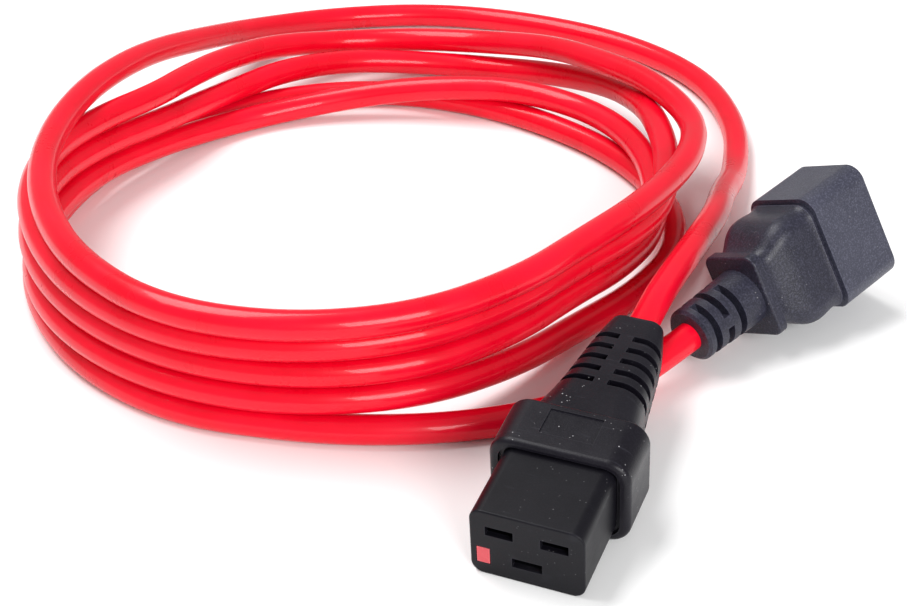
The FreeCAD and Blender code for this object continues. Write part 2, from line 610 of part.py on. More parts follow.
def make_plug_grip():
    """The plug's overmould: a grip that narrows to a flange, and the round strain relief."""
    body = new_body("plug_grip")
    groove = rounded(cross_sketch(body, "groove_outline", "0"), "grip_front_width - groove_inset",
                     "grip_front_height - groove_inset", "grip_front_corner - groove_inset / 2")
    pad(body, "groove_ring", groove, "groove_width")
    stations = [rounded(cross_sketch(body, name + "_outline", "groove_width + %s_at" % name),
                        name + "_width", name + "_height", name + "_corner") for name in GRIP]
    loft(body, "grip", "AdditiveLoft", stations)
    flange = rounded(cross_sketch(body, "flange_outline", "flange_at"), "flange_width", "flange_height",
                     "flange_corner")
    pad(body, "flange", flange, "flange_thickness")
    doc.recompute()
    flange_rear = number("flange_at + flange_thickness")
    round_edges(body, "flange_rounding", "flange_edge", lies_at(flange_rear))
    relief_start = "( flange_at + flange_thickness - 0.5 )"
    profile = outline(sketch_on(body, "relief_outline", "YZ_Plane", "0"),
                      [(relief_start, "0"), (relief_start, "plug_relief_front"),
                       ("plug_length - tail_round", "plug_relief_end"),
                       ("plug_length", "plug_relief_end - tail_round"), ("plug_length", "0")])
    relief = body.newObject("PartDesign::Revolution", "relief")
    relief.Profile = (profile, [""])
    relief.ReferenceAxis = (profile, ["H_Axis"])
    relief.Angle = 360
    seat = rounded(cross_sketch(body, "bridge_seat_outline", "0"), "bridge_width + 2 * fit_gap",
                   "bridge_height + 2 * fit_gap", "bridge_corner + fit_gap")
    pocket(body, "bridge_seat", seat, "bridge_thickness + fit_gap")
    front = rounded(cross_sketch(body, "wiring_outline", "bridge_thickness"), "plug_wiring_width",
                    "plug_wiring_height", "wiring_corner")
    pocket(body, "wiring_room", front, "plug_wiring_length")
    wiring_front = "( bridge_thickness + plug_wiring_length )"
    wiring = [rounded(cross_sketch(body, "wiring_front", wiring_front), "plug_wiring_width",
                      "plug_wiring_height", "wiring_corner"),
              rounded(cross_sketch(body, "wiring_rear", "plug_sheath_start"), "cable_diameter + 2 * fit_gap",
                      "cable_diameter + 2 * fit_gap", "( cable_diameter + fit_gap ) / 2")]
    loft(body, "wiring_space", "SubtractiveLoft", wiring)
    bore = disc(cross_sketch(body, "bore_outline", "plug_sheath_start - 1"),
                "cable_diameter / 2 + fit_gap / 2")
    pocket(body, "cable_bore", bore, "plug_length - plug_sheath_start + 2")
    for row in range(3):
        plug_slot_row(body, row)
    return body


def plug_slot_row(body, row):
    """Two opposite slots round the plug's relief; each row is turned a quarter from the one before."""
    start = "plug_slot_first + %d * plug_slot_pitch - plug_slot / 2" % row
    sketch = cross_sketch(body, "row_%d_outline" % row, start)
    far = "( shroud_width / 2 )"
    near = "( plug_spine / 2 )"
    side = "sqrt ( plug_sleeve * plug_sleeve - %s * %s )" % (near, near)
    for sign in (1, -1):
        half = [("-1 * %s" % side, near), ("1 * %s" % side, near), (far, near), (far, far),
                ("-1 * " + far, far), ("-1 * " + far, near)]
        points = [("%d * %s" % (sign, x), "%d * %s" % (sign, z)) for x, z in half]
        if row % 2:
            points = [("-1 * " + z, x) for x, z in points]
        outline(sketch, points, {0: ("plug_sleeve", -1)})
    pocket(body, "row_%d" % row, sketch, "plug_slot")


# ---------------------------------------------------------------- cords

# the share of the shorter of two runs that the arc between them takes up
ARC_SHARE = 0.45


def tube_along(name, route, diameter, report=False):
    """A round bar along straight runs joined by tangent arcs, as large as the runs allow."""
    points = [Vector(*point) for point in route]
    edges, radii, start = [], [], points[0]
    for before, corner, after in zip(points, points[1:], points[2:]):
        into, out = corner - before, after - corner
        turn = into.getAngle(out)
        reach = ARC_SHARE * min(into.Length, out.Length)
        radii.append(reach / math.tan(turn / 2))
        into.normalize()
        out.normalize()
        arc_start, arc_end = corner - into * reach, corner + out * reach
        to_centre = (out - into).normalize()
        centre = corner + to_centre * (reach / math.sin(turn / 2))
        middle = centre - to_centre * radii[-1]
        edges.append(Part.LineSegment(start, arc_start).toShape())
        edges.append(Part.Arc(arc_start, middle, arc_end).toShape())
        start = arc_end
    edges.append(Part.LineSegment(start, points[-1]).toShape())
    path = Part.Wire(edges)
    section = Part.Wire(Part.Circle(points[0], points[1] - points[0], diameter / 2).toShape())
    tube = path.makePipeShell([section], True, False)
    if report:
        share = tube.Volume / (math.pi * diameter ** 2 / 4 * path.Length)
        print("%s: length %.1f, radii %s, volume to section times length %.4f"
              % (name, path.Length, ", ".join("%.0f" % radius for radius in radii), share))
    feature = doc.addObject("Part::Feature", name)
    feature.Label = name
    feature.Shape = tube
    return feature


# the points by which each connector's lead runs to the coil, chosen by hand
SOCKET_LEAD = [(0.0, 70.0, 20.6), (0.5, 88.0, 19.6), (0.5, 106.0, 17.5), (-0.5, 124.0, 14.4),
               (-3.5, 142.0, 10.8)]
PLUG_LEAD = [(-0.8, 39.0, 7.4), (-9.0, 28.6, 5.2), (-19.0, 19.0, 4.3), (-31.0, 9.6, 4.2),
             (-45.0, 1.2, 4.3), (-61.0, -5.4, 4.2), (-78.0, -10.4, 4.3)]


def make_coil():
    """The plain solid that the coiled turns of the cable fill."""
    solids = []
    for name, middle, half_width, half_depth in (
            ("coil_outside", ("coil_middle_x", "coil_middle_y"), "coil_half_width", "coil_half_depth"),
            ("coil_hole", ("coil_hole_x", "coil_hole_y"), "coil_hole_half_width", "coil_hole_half_depth")):
        ring = doc.addObject("Part::Ellipse", name + "_outline")
        ring.setExpression("MajorRadius", s(half_depth))
        ring.setExpression("MinorRadius", s(half_width))
        ring.Placement = FreeCAD.Placement(Vector(number(middle[0]), number(middle[1]), 0),
                                           FreeCAD.Rotation(Vector(0, 0, 1), 90))
        solid = doc.addObject("Part::Extrusion", name)
        solid.Base = ring
        solid.DirMode = "Normal"
        solid.Solid = True
        solid.setExpression("LengthFwd", s("coil_height"))
        solids.append(solid)
    ring = doc.addObject("Part::Cut", "coil_ring")
    ring.Base, ring.Tool = solids
    doc.recompute()
    coil = doc.addObject("Part::Chamfer", "cable_coil")
    coil.Label = "cable_coil"
    coil.Base = ring
    radius = number("coil_round")
    coil.Edges = [(i, radius, radius) for i, edge in enumerate(ring.Shape.Edges, start=1)
                  if lies_level(edge.BoundBox, number("coil_height"))]
    return coil


def lies_level(box, z):
    return abs(box.ZMin - z) < 1e-3 and abs(box.ZMax - z) < 1e-3


# ---------------------------------------------------------------- the whole

def socket_seat():
    """The connector's place: its insert and its collar both touch the ground."""
    across = number("insert_reach - face_edge + collar_front_round")
    rise = number("( collar_height - insert_height ) / 2 + face_edge - collar_front_round")
    lift = number("collar_front_round - face_edge")
    lean = math.atan2(rise, across) + math.asin(lift / math.hypot(across, rise))
    turn = FreeCAD.Rotation(Vector(1, 0, 0), math.degrees(lean))
    touch = Vector(0, number(COLLAR + " + collar_front_round"), number("collar_front_round"))
    height = number("collar_front_round") - turn.multVec(touch).z
    ends = [turn.multVec(Vector(0, number(FACE), number(MIDDLE + " + insert_height / 2"))).y,
            turn.multVec(Vector(0, number(TAIL), number(MIDDLE + " - relief_end_height / 2"))).y]
    return FreeCAD.Placement(Vector(0, -sum(ends) / 2, height), turn)


def plug_seat(shapes):
    """The plug's place: turned as it lies, and let down until it touches the ground."""
    turn = (FreeCAD.Rotation(Vector(0, 0, 1), number("plug_heading"))
            .multiply(FreeCAD.Rotation(Vector(1, 0, 0), number("plug_rise")))
            .multiply(FreeCAD.Rotation(Vector(0, 1, 0), number("plug_roll"))))
    lowest = 0.0
    for shape in shapes:
        turned = shape.copy()
        turned.Placement = FreeCAD.Placement(Vector(), turn).multiply(shape.Placement)
        lowest = min(lowest, turned.optimalBoundingBox(False).ZMin)
    return FreeCAD.Placement(Vector(number("plug_x"), number("plug_y"), -lowest), turn)


def make_socket():
    """Every piece of the connector, in its own straight frame, with each piece's own turn."""
    spring, spring_place = make_lock_spring()
    plate, plate_place = make_lock_plate()
    pieces = [(make_contact_carrier(), None), (make_rear_cover(), None), (plate, plate_place),
              (make_release_slider(), None), (spring, spring_place), (make_grip_overmould(), None),
              (make_sheath("socket_sheath", SHEATH, TAIL, MIDDLE), None)]
    for way, (side, height, *_) in WAYS.items():
        pieces.append((make_contact(way), None))
        core = make_core(way + "_core", number(side), number(height), number(BARREL_END),
                         number(SHEATH), number(TAIL), number(MIDDLE))
        pieces.append((core, None))
    return pieces


def make_plug():
    """Every piece of the plug, in its own straight frame."""
    pieces = [make_plug_shroud(), make_plug_grip(), make_plug_bridge(),
              make_sheath("plug_sheath", "plug_sheath_start", "plug_length", "0")]
    for way, (side, height, _) in PLUG_WAYS.items():
        pieces.append(make_plug_pin(way))
        pieces.append(make_core("plug_%s_core" % way, number(side), number(height),
                                number("pin_barrel_end"), number("plug_sheath_start"),
                                number("plug_length"), 0.0))
    return pieces


def main():
    socket_pieces = make_socket()
    plug_pieces = make_plug()
    doc.recompute()
    seat = socket_seat()
    for piece, place in socket_pieces:
        piece.Placement = seat.multiply(place) if place else seat
    plug_place = plug_seat([piece.Shape for piece in plug_pieces])
    for piece in plug_pieces:
        piece.Placement = plug_place
    diameter = number("cable_diameter")
    tail = seat.multVec(Vector(0, number(TAIL), number(MIDDLE)))
    tail_out = seat.multVec(Vector(0, number(TAIL + " + socket_lead_straight"), number(MIDDLE)))
    socket_lead = tube_along("socket_lead", [tail, tail_out] + SOCKET_LEAD, diameter, report=True)
    plug_tail = plug_place.multVec(Vector(0, number("plug_length"), 0))
    plug_out = plug_place.multVec(Vector(0, number("plug_length + plug_lead_straight"), 0))
    plug_lead = tube_along("plug_lead", [plug_tail, plug_out] + PLUG_LEAD, diameter, report=True)
    parts = [piece for piece, _ in socket_pieces] + plug_pieces
    parts += [make_coil(), socket_lead, plug_lead]
    doc.recompute()
    write(parts)


def write(parts):
    """Check every object and sub-part, then write one STEP file for each sub-part."""
    for thing in doc.Objects:
        if "Invalid" in thing.State or "Error" in thing.State:
            raise RuntimeError("%s failed: %s" % (thing.Name, thing.State))
    os.makedirs("parts", exist_ok=True)
    for part in parts:
        shape = part.Shape
        if shape.isNull() or not shape.isValid() or not shape.Solids:
            raise RuntimeError("%s has no valid solid" % part.Label)
        shape.exportStep(os.path.join("parts", part.Label + ".step"))


main()
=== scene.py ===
import json
import math

import bpy
import numpy as np
from mathutils import Matrix, Vector


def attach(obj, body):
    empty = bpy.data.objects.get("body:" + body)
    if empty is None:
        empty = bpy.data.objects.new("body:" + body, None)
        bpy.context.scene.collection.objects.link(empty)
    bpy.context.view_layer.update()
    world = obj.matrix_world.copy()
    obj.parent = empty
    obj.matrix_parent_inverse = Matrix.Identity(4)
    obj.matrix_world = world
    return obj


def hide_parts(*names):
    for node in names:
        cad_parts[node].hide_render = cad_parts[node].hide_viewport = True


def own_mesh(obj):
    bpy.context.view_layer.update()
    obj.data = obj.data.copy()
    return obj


# The look of a locking C19 connector on a coiled red cable, with the C20 plug at the cable's far end.
# The frame's solids take a finish for each material slot, and one spline draws the whole cable.
# Blender's lengths are metres. The origin is on the floor, below the middle of the connector.

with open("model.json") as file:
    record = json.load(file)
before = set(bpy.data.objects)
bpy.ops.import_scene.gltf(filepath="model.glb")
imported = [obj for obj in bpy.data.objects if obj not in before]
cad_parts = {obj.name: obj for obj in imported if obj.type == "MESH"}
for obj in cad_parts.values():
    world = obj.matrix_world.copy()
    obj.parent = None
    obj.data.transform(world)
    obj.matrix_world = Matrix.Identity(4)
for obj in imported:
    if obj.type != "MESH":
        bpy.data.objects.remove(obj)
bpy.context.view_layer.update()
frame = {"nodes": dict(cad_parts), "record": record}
nodes = frame["nodes"]
scene = bpy.context.scene
MM = 0.001

# ---------------------------------------------------------------- the cable, in millimetres

CABLE_DIAMETER = 8.2
# the connector's lead and the plug's lead, each from its strain relief, by the solids' points
SOCKET_LEAD = [(0.0, 42.20, 19.50), (0.0, 56.11, 21.08), (0.0, 70.0, 20.6), (0.5, 88.0, 19.6),
               (0.5, 106.0, 17.5), (-0.5, 124.0, 14.4), (-3.5, 142.0, 10.8)]
PLUG_LEAD = [(9.77, 59.43, 11.17), (5.02, 49.71, 9.18), (-0.8, 39.0, 7.4), (-9.0, 28.6, 5.2),
             (-19.0, 19.0, 4.3), (-31.0, 9.6, 4.2), (-45.0, 1.2, 4.3), (-61.0, -5.4, 4.2),
             (-78.0, -10.4, 4.3)]
# the coil: where its turns go round, and how far out each turn lies at every twelfth of a turn,
# from the turn at the connector's end, which lies on top, down to the one at the plug's end
COIL_MIDDLE = (-108.0, 110.0)
COIL_REACHES = [
    (118, 144, 147, 141, 104, 89, 94, 110, 129, 124, 100, 95),
    (103, 95, 104, 105, 85, 76, 97, 113, 127, 121, 97, 93),
    (93, 101, 103, 92, 78, 75, 97, 114, 125, 121, 95, 91),
    (88, 84, 69, 66, 71, 77, 95, 115, 125, 121, 98, 99),
    (89, 78, 75, 77, 80, 86, 100, 114, 125),
]
REACH_STEP = 30.0       # degrees between two reaches
POINT_STEP = 15.0       # degrees between two points of the cable's line
SAMPLE_STEP = 1.5       # degrees between two places where the cable is laid down
END_GAP = 0.4           # the least way from a lead to the coil's nearest point, in point steps
LAY_SPACING = 1.03      # how far apart crossing cables lie, in diameters
LAY_SWEEPS = 8          # more than the most cables that lie on each other
HUMP_RADIUS = 180.0     # how tightly the cable bends over what it crosses
LEAST_LIFT = 0.001      # a smaller lift counts as this one, so that every hump has a length
OWN_STRETCH = 60.0      # how much of the cable beside a place never supports it
LINE_STEPS = 10         # how finely the spline is drawn between two of its points
ROUND_STEPS = 6         # how finely its round section is drawn


def polar(point):
    """A point's angle in degrees round the coil's middle, and its reach from there."""
    x, y = point[0] - COIL_MIDDLE[0], point[1] - COIL_MIDDLE[1]
    return math.degrees(math.atan2(y, x)), math.hypot(x, y)


def coil_stations():
    """The angles and reaches that the turns pass through, with the last two points of each lead."""
    stations = [polar(point) for point in SOCKET_LEAD[-2:]]
    reaches = [reach for turn in COIL_REACHES for reach in turn]
    stations += [(REACH_STEP * step, reach) for step, reach in enumerate(reaches, start=1)]
    for point in PLUG_LEAD[:-3:-1]:
        angle, reach = polar(point)
        turns = math.ceil((stations[-1][0] - angle) / 360)
        stations.append((angle + 360 * turns, reach))
    angles, reaches = np.array(stations).T
    return angles, reaches


def reach_at(angle, angles, reaches):
    """The reach at any angle: a cubic between two stations, with no kink at either."""
    slopes = np.gradient(reaches, angles)
    before = np.clip(np.searchsorted(angles, angle, side="right") - 1, 0, len(angles) - 2)
    width = angles[before + 1] - angles[before]
    t = (angle - angles[before]) / width
    return ((2 * t ** 3 - 3 * t ** 2 + 1) * reaches[before]
            + (t ** 3 - 2 * t ** 2 + t) * width * slopes[before]
            + (3 * t ** 2 - 2 * t ** 3) * reaches[before + 1]
            + (t ** 3 - t ** 2) * width * slopes[before + 1])


def lay_down(plan, lead):
    """How high the cable lies at each place of its plan.

    It is laid from the plug's end, so each place rests on the floor or on the stretches that come
    after it. Over a stretch that passes h away it lies sqrt(spacing^2 - h^2) higher. A place that is
    lifted by u lifts its neighbours by u cos^2(pi s / 2 L), s along the cable, in a hump whose
    half length L = pi sqrt(R u / 2) gives its top the bend radius R.
    """
    count = len(plan)
    floor = CABLE_DIAMETER / 2
    spacing = CABLE_DIAMETER * LAY_SPACING
    route = np.vstack([plan, lead[:, :2]])
    runs = np.diff(route, axis=0)
    lengths = np.linalg.norm(runs, axis=1)
    along = np.concatenate([[0.0], np.cumsum(lengths)])
    offset = plan[:, None] - route[None, :-1]
    share = np.clip((offset * runs).sum(axis=2) / lengths ** 2, 0, 1)
    apart = np.linalg.norm(offset - share[:, :, None] * runs, axis=2)
    crossed = (apart < spacing) & (along[None, :-1] - along[:count, None] > OWN_STRETCH)
    over, under = np.nonzero(crossed)
    share = share[over, under]
    rise = np.sqrt(spacing ** 2 - apart[over, under] ** 2)
    beside = np.abs(along[:count, None] - along[None, :count])
    heights = np.concatenate([np.full(count, floor), lead[:, 2]])
    for _ in range(LAY_SWEEPS):
        lift = np.zeros(count)
        support = heights[under] * (1 - share) + heights[under + 1] * share
        np.maximum.at(lift, over, support + rise - floor)
        half_length = math.pi * np.sqrt(HUMP_RADIUS * np.maximum(lift, LEAST_LIFT) / 2)
        hump = np.cos(math.pi / 2 * np.minimum(1, beside / half_length)) ** 2
        heights[:count] = floor + (lift * hump).max(axis=1)
    return heights[:count]


def coil_points():
    """The points of the coiled turns, from the connector's lead to the plug's lead."""
    stations, reaches = coil_stations()
    angles = np.arange(stations[1] + SAMPLE_STEP, stations[-2], SAMPLE_STEP)
    reach = reach_at(angles, stations, reaches)
    turns = np.radians(angles)
    plan = np.stack([COIL_MIDDLE[0] + reach * np.cos(turns),
                     COIL_MIDDLE[1] + reach * np.sin(turns)], axis=1)
    heights = lay_down(plan, np.array(PLUG_LEAD[::-1]))
    first = POINT_STEP * math.ceil(angles[0] / POINT_STEP + END_GAP)
    last = POINT_STEP * math.floor(angles[-1] / POINT_STEP - END_GAP)
    places = np.arange(first, last + 1, POINT_STEP)
    return [tuple(np.interp(place, angles, column) for column in (plan[:, 0], plan[:, 1], heights))
            for place in places]


def cable_points():
    """The cable's route in metres: out of the connector, round the coil, and into the plug."""
    points = SOCKET_LEAD + coil_points() + PLUG_LEAD[::-1]
    return [Vector(point) * MM for point in points]


def make_cable():
    """One open spline of order 3 through the route, with a round section."""
    curve = bpy.data.curves.new("power_cable", "CURVE")
    curve.dimensions = "3D"
    spline = curve.splines.new("NURBS")
    points = cable_points()
    spline.points.add(len(points) - 1)
    for point, place in zip(spline.points, points):
        point.co = (*place, 1.0)
    spline.order_u = 3
    spline.use_endpoint_u = True
    spline.resolution_u = LINE_STEPS
    curve.bevel_depth = CABLE_DIAMETER / 2 * MM
    curve.bevel_resolution = ROUND_STEPS
    curve.use_fill_caps = True
    cable = bpy.data.objects.new("power_cable", curve)
    scene.collection.objects.link(cable)
    return cable


# ---------------------------------------------------------------- patterns on the surfaces

# how often a pattern repeats in a metre, and the two of its values that an effect grows between
RUBBED_SCALE = 55.0
DUST_SCALE = 620.0
DUST_RADIUS = 0.115             # of a speck, as a share of the specks' spacing
DUSTY_SCALE = 85.0
DUSTY_BETWEEN = (0.5, 0.62)
DUST_COLOUR = (0.55, 0.54, 0.56)
SCUFF_SCALE = 120.0
SCUFF_STRETCH = (1.0, 9.0, 1.0)
SCUFF_TURN = (0.3, 0.2, 0.7)
SCUFFED_BETWEEN = (0.66, 0.74)
# the corner mask paints edges paler: partly rubbed wear, partly a painted sheen on the edges
CORNER_RADIUS = 0.0005          # metres
CORNER_SAMPLES = 4
CORNER_BETWEEN = (0.90, 0.985)
GRAIN_BETWEEN = (0.48, 0.66)
GRAIN_DEPTH = 0.00005           # metres
ROLLING_SCALE = 60.0
ROLLING_STRETCH = (40.0, 3.0, 40.0)
ROLLING_DEPTH = 0.00002         # metres
ROLLING_BUMP = 0.2
ROLLED_SHADE = 0.82             # the darkest metal, as a share of its colour
ROLLED_ROUGHNESS = (0.8, 1.3)   # the smoothest and the roughest, as shares of its roughness
NO_TURN = (0.0, 0.0, 0.0)
STRIPE_SCALE = 60.0
STRIPE_WAVER = 0.4
STRIPE_BETWEEN = (0.48, 0.52)
STRIPED_ROUGHNESS = 0.4
# a Mix node has sockets for each kind of value: these are the colours' own
UNDER_COLOUR, OVER_COLOUR, MIXED_COLOUR = 6, 7, 2


def node_group(name, inputs, outputs, build):
    """A shader node group with number inputs, each a (name, value) pair, built once."""
    group = bpy.data.node_groups.new(name, "ShaderNodeTree")
    for label, value in inputs:
        socket = group.interface.new_socket(name=label, in_out="INPUT", socket_type="NodeSocketFloat")
        socket.default_value = value
    for label in outputs:
        group.interface.new_socket(name=label, in_out="OUTPUT", socket_type="NodeSocketFloat")
    start = group.nodes.new("NodeGroupInput")
    end = group.nodes.new("NodeGroupOutput")
    build(group.nodes, group.links, start, end)
    return group


def object_coordinates(tree_nodes):
    """Places on the object, in metres."""
    return tree_nodes.new("ShaderNodeTexCoord").outputs["Object"]


def noise(tree_nodes, links, scale, detail=2.0, roughness=0.5, source=None):
    """Cloudy noise; its scale is a number or another node's output."""
    texture = tree_nodes.new("ShaderNodeTexNoise")
    texture.inputs["Detail"].default_value = detail
    texture.inputs["Roughness"].default_value = roughness
    if isinstance(scale, (int, float)):
        texture.inputs["Scale"].default_value = scale
    else:
        links.new(scale, texture.inputs["Scale"])
    links.new(source or object_coordinates(tree_nodes), texture.inputs["Vector"])
    return texture.outputs["Fac"]


def streaks(tree_nodes, links, scale, stretch, turn, detail=2.0, roughness=0.5):
    """Noise on turned and stretched coordinates, so that it runs in streaks."""
    mapping = tree_nodes.new("ShaderNodeMapping")
    mapping.inputs["Rotation"].default_value = turn
    mapping.inputs["Scale"].default_value = stretch
    links.new(object_coordinates(tree_nodes), mapping.inputs["Vector"])
    return noise(tree_nodes, links, scale, detail, roughness, mapping.outputs["Vector"])


def scattered_points(tree_nodes, links, scale):
    """The distance to the nearest of many scattered points."""
    texture = tree_nodes.new("ShaderNodeTexVoronoi")
    texture.inputs["Scale"].default_value = scale
    links.new(object_coordinates(tree_nodes), texture.inputs["Vector"])
    return texture.outputs["Distance"]


def maths(tree_nodes, links, operation, first, second):
    """A sum, a product or a comparison of two values, each a number or a node's output."""
    node = tree_nodes.new("ShaderNodeMath")
    node.operation = operation
    for socket, value in zip(node.inputs, (first, second)):
        if isinstance(value, (int, float)):
            socket.default_value = value
        else:
            links.new(value, socket)
    return node.outputs[0]


def ramp(tree_nodes, links, source, low, high, between=(0.3, 0.7)):
    """From one grey level or colour to another, as the source goes between two values."""
    node = tree_nodes.new("ShaderNodeValToRGB")
    for stop, place, value in zip(node.color_ramp.elements, between, (low, high)):
        stop.position = place
        stop.color = (value, value, value, 1) if isinstance(value, (int, float)) else (*value, 1)
    links.new(source, node.inputs[0])
    return node.outputs[0]


def overlay(tree_nodes, links, mask, under, over):
    """One colour laid over another where the mask is white."""
    node = tree_nodes.new("ShaderNodeMix")
    node.data_type = "RGBA"
    links.new(mask, node.inputs["Factor"])
    links.new(under, node.inputs[UNDER_COLOUR])
    node.inputs[OVER_COLOUR].default_value = (*over, 1)
    return node.outputs[MIXED_COLOUR]


def build_moulded_grain(tree_nodes, links, start, end):
    """Spark-eroded grain: fine pits on a faint slow swell, with patches that are rubbed smoother."""
    grain = noise(tree_nodes, links, start.outputs["Grain Scale"], detail=3.0, roughness=0.6)
    swell = noise(tree_nodes, links, start.outputs["Swell Scale"], detail=1.0)
    rubbed = noise(tree_nodes, links, RUBBED_SCALE, detail=4.0, roughness=0.62)
    fine = maths(tree_nodes, links, "MULTIPLY", grain, start.outputs["Grain Depth"])
    slow = maths(tree_nodes, links, "MULTIPLY", swell, start.outputs["Swell Depth"])
    links.new(maths(tree_nodes, links, "ADD", fine, slow), end.inputs["Height"])
    links.new(rubbed, end.inputs["Rubbed"])
    links.new(grain, end.inputs["Grain"])


def build_handling_wear_and_sheen(tree_nodes, links, start, end):
    """Handling and painted sheen: specks of dust in patches, short scuffs, and edges painted paler,
    partly as rubbed wear and partly as a painted sheen.

    A speck is where the nearest scattered point is closer than a small radius. A corner is where
    the normal averaged over a small radius turns away from the surface's own.
    """
    specks = scattered_points(tree_nodes, links, DUST_SCALE)
    near = maths(tree_nodes, links, "LESS_THAN", specks, DUST_RADIUS)
    patches = noise(tree_nodes, links, DUSTY_SCALE, detail=3.0, roughness=0.6)
    dusty = ramp(tree_nodes, links, patches, 0.0, 1.0, DUSTY_BETWEEN)
    dust = maths(tree_nodes, links, "MULTIPLY", near, dusty)
    scratches = streaks(tree_nodes, links, SCUFF_SCALE, SCUFF_STRETCH, SCUFF_TURN)
    scuffs = ramp(tree_nodes, links, scratches, 0.0, 1.0, SCUFFED_BETWEEN)
    rounded = tree_nodes.new("ShaderNodeBevel")
    rounded.samples = CORNER_SAMPLES
    rounded.inputs["Radius"].default_value = CORNER_RADIUS
    flat = tree_nodes.new("ShaderNodeNewGeometry").outputs["Normal"]
    agreement = tree_nodes.new("ShaderNodeVectorMath")
    agreement.operation = "DOT_PRODUCT"
    links.new(rounded.outputs["Normal"], agreement.inputs[0])
    links.new(flat, agreement.inputs[1])
    # edges painted paler: partly rubbed wear, partly a painted sheen
    corner_wear_and_sheen = ramp(tree_nodes, links, agreement.outputs["Value"], 1.0, 0.0, CORNER_BETWEEN)
    for label, mask in (("Dust", dust), ("Scuffs", scuffs), ("Corner Wear And Sheen", corner_wear_and_sheen)):
        links.new(maths(tree_nodes, links, "MULTIPLY", mask, start.outputs[label]), end.inputs[label])


MOULDED_GRAIN = node_group(
    "moulded_grain",
    [("Grain Scale", 2500.0), ("Grain Depth", 1.0), ("Swell Scale", 140.0), ("Swell Depth", 0.5)],
    ["Height", "Rubbed", "Grain"], build_moulded_grain)
HANDLING_WEAR_AND_SHEEN = node_group(
    "handling_wear_and_sheen", [("Dust", 0.5), ("Scuffs", 0.2), ("Corner Wear And Sheen", 0.3)],
    ["Dust", "Scuffs", "Corner Wear And Sheen"], build_handling_wear_and_sheen)


def place_group(tree_nodes, group, values):
    """The group with its own values in this material."""
    node = tree_nodes.new("ShaderNodeGroup")
    node.node_tree = group
    for label, value in values.items():
        node.inputs[label].default_value = value
    return node.outputs


# ---------------------------------------------------------------- finishes

def new_material(name):
    """A material with its nodes, its links and its shader."""
    material = bpy.data.materials.new(name)
    material.use_nodes = True
    tree = material.node_tree
    return material, tree.nodes, tree.links, tree.nodes["Principled BSDF"]


def raise_surface(tree_nodes, links, shader, height, strength, depth):
    """Bumps from a height pattern: how strongly they show, and how deep they are."""
    relief = tree_nodes.new("ShaderNodeBump")
    relief.inputs["Strength"].default_value = strength
    relief.inputs["Distance"].default_value = depth
    links.new(height, relief.inputs["Height"])
    links.new(relief.outputs["Normal"], shader.inputs["Normal"])


def moulded(name, colours, roughness, grain, swell, bump, specular=0.5, coat=(0.0, 0.25), speckle=0.0,
            dust=0.0, scuffs=0.0, corner_wear_and_sheen=0.0, wear_and_sheen_colour=(0.05, 0.05, 0.06)):
    """A moulded plastic.

    colours and roughness each go from the plain surface to the rubbed one; grain and swell are a
    scale and a depth, and bump is how strongly they show; coat is a clear skin's share and roughness;
    speckle is how much the grain shows as colour; dust, scuffs and the corner share say how far handling
    shows, the corner share partly as a painted sheen on the edges; the wear colour, which also paints
    that sheen, is the colour they show as.
    """
    material, tree_nodes, links, shader = new_material(name)
    pattern = place_group(tree_nodes, MOULDED_GRAIN, {"Grain Scale": grain[0], "Grain Depth": grain[1],
                                                      "Swell Scale": swell[0], "Swell Depth": swell[1]})
    wear_and_sheen = place_group(tree_nodes, HANDLING_WEAR_AND_SHEEN, {"Dust": dust, "Scuffs": scuffs, "Corner Wear And Sheen": corner_wear_and_sheen})
    colour = ramp(tree_nodes, links, pattern["Rubbed"], *colours)
    raised = ramp(tree_nodes, links, pattern["Grain"], 0.0, speckle, GRAIN_BETWEEN)
    # the grain, the scuffs and the edges take the wear colour; on the edges it is partly rubbed wear and
    # partly a painted sheen
    for mask, shown in ((raised, wear_and_sheen_colour), (wear_and_sheen["Corner Wear And Sheen"], wear_and_sheen_colour), (wear_and_sheen["Scuffs"], wear_and_sheen_colour),
                        (wear_and_sheen["Dust"], DUST_COLOUR)):
        colour = overlay(tree_nodes, links, mask, colour, shown)
    links.new(colour, shader.inputs["Base Color"])
    rough = ramp(tree_nodes, links, pattern["Rubbed"], *roughness)
    links.new(maths(tree_nodes, links, "ADD", rough, wear_and_sheen["Dust"]), shader.inputs["Roughness"])
    shader.inputs["Specular IOR Level"].default_value = specular
    shader.inputs["Coat Weight"].default_value = coat[0]
    shader.inputs["Coat Roughness"].default_value = coat[1]
    raise_surface(tree_nodes, links, shader, pattern["Height"], bump, GRAIN_DEPTH)
    return material


def pressed_metal(name, colour, roughness):
    """Pressed metal: faint rolling marks and a roughness that varies with them."""
    material, tree_nodes, links, shader = new_material(name)
    marks = streaks(tree_nodes, links, ROLLING_SCALE, ROLLING_STRETCH, NO_TURN, detail=3.0, roughness=0.6)
    darker = tuple(channel * ROLLED_SHADE for channel in colour)
    smoothest, roughest = (roughness * share for share in ROLLED_ROUGHNESS)
    shader.inputs["Metallic"].default_value = 1.0
    links.new(ramp(tree_nodes, links, marks, darker, colour), shader.inputs["Base Color"])
    links.new(ramp(tree_nodes, links, marks, smoothest, roughest), shader.inputs["Roughness"])
    raise_surface(tree_nodes, links, shader, marks, ROLLING_BUMP, ROLLING_DEPTH)
    return material


def striped_core(name, ground, stripe):
    """Insulation in two colours, in stripes that waver."""
    material, tree_nodes, links, shader = new_material(name)
    wave = tree_nodes.new("ShaderNodeTexWave")
    wave.inputs["Scale"].default_value = STRIPE_SCALE
    wave.inputs["Distortion"].default_value = STRIPE_WAVER
    links.new(object_coordinates(tree_nodes), wave.inputs["Vector"])
    stripes = ramp(tree_nodes, links, wave.outputs["Fac"], ground, stripe, STRIPE_BETWEEN)
    links.new(stripes, shader.inputs["Base Color"])
    shader.inputs["Roughness"].default_value = STRIPED_ROUGHNESS
    return material
